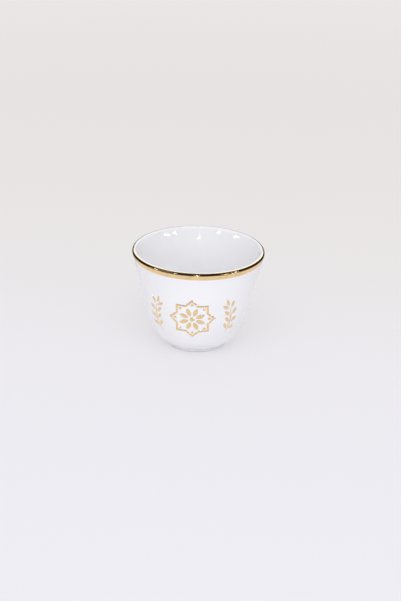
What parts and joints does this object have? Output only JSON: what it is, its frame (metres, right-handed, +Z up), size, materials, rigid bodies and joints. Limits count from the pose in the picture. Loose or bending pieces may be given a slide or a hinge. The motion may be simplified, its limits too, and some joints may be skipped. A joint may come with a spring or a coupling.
{
  "type": "arabic coffee cup",
  "caption": "Small handleless porcelain coffee cup with a round belly, a flared wall and a low foot ring, a gilt line round the lip and a gilt star between leaf sprays.",
  "frame": {"origin": "centre of the foot ring's standing face", "axes": "+Z up along the cup's axis, -Y out of the front that bears the gilt star, +X to the right for a viewer who faces that front"},
  "size_m": [0.0622, 0.0622, 0.0471],
  "materials": {
    "porcelain": "fired white porcelain, bare and matt where it shows",
    "glaze": "clear glossy glaze over white porcelain",
    "gilt": "bright fired gilding"
  },
  "bodies": {
    "root": {"porcelain_body": "porcelain", "glaze_coat": "glaze", "base_glaze": "glaze", "rim_gilding": "gilt", "gilt_star": "gilt", "gilt_rosette": "gilt", "gilt_pearls": "gilt", "gilt_spray_left": "gilt", "gilt_spray_right": "gilt"}
  },
  "joints": []
}
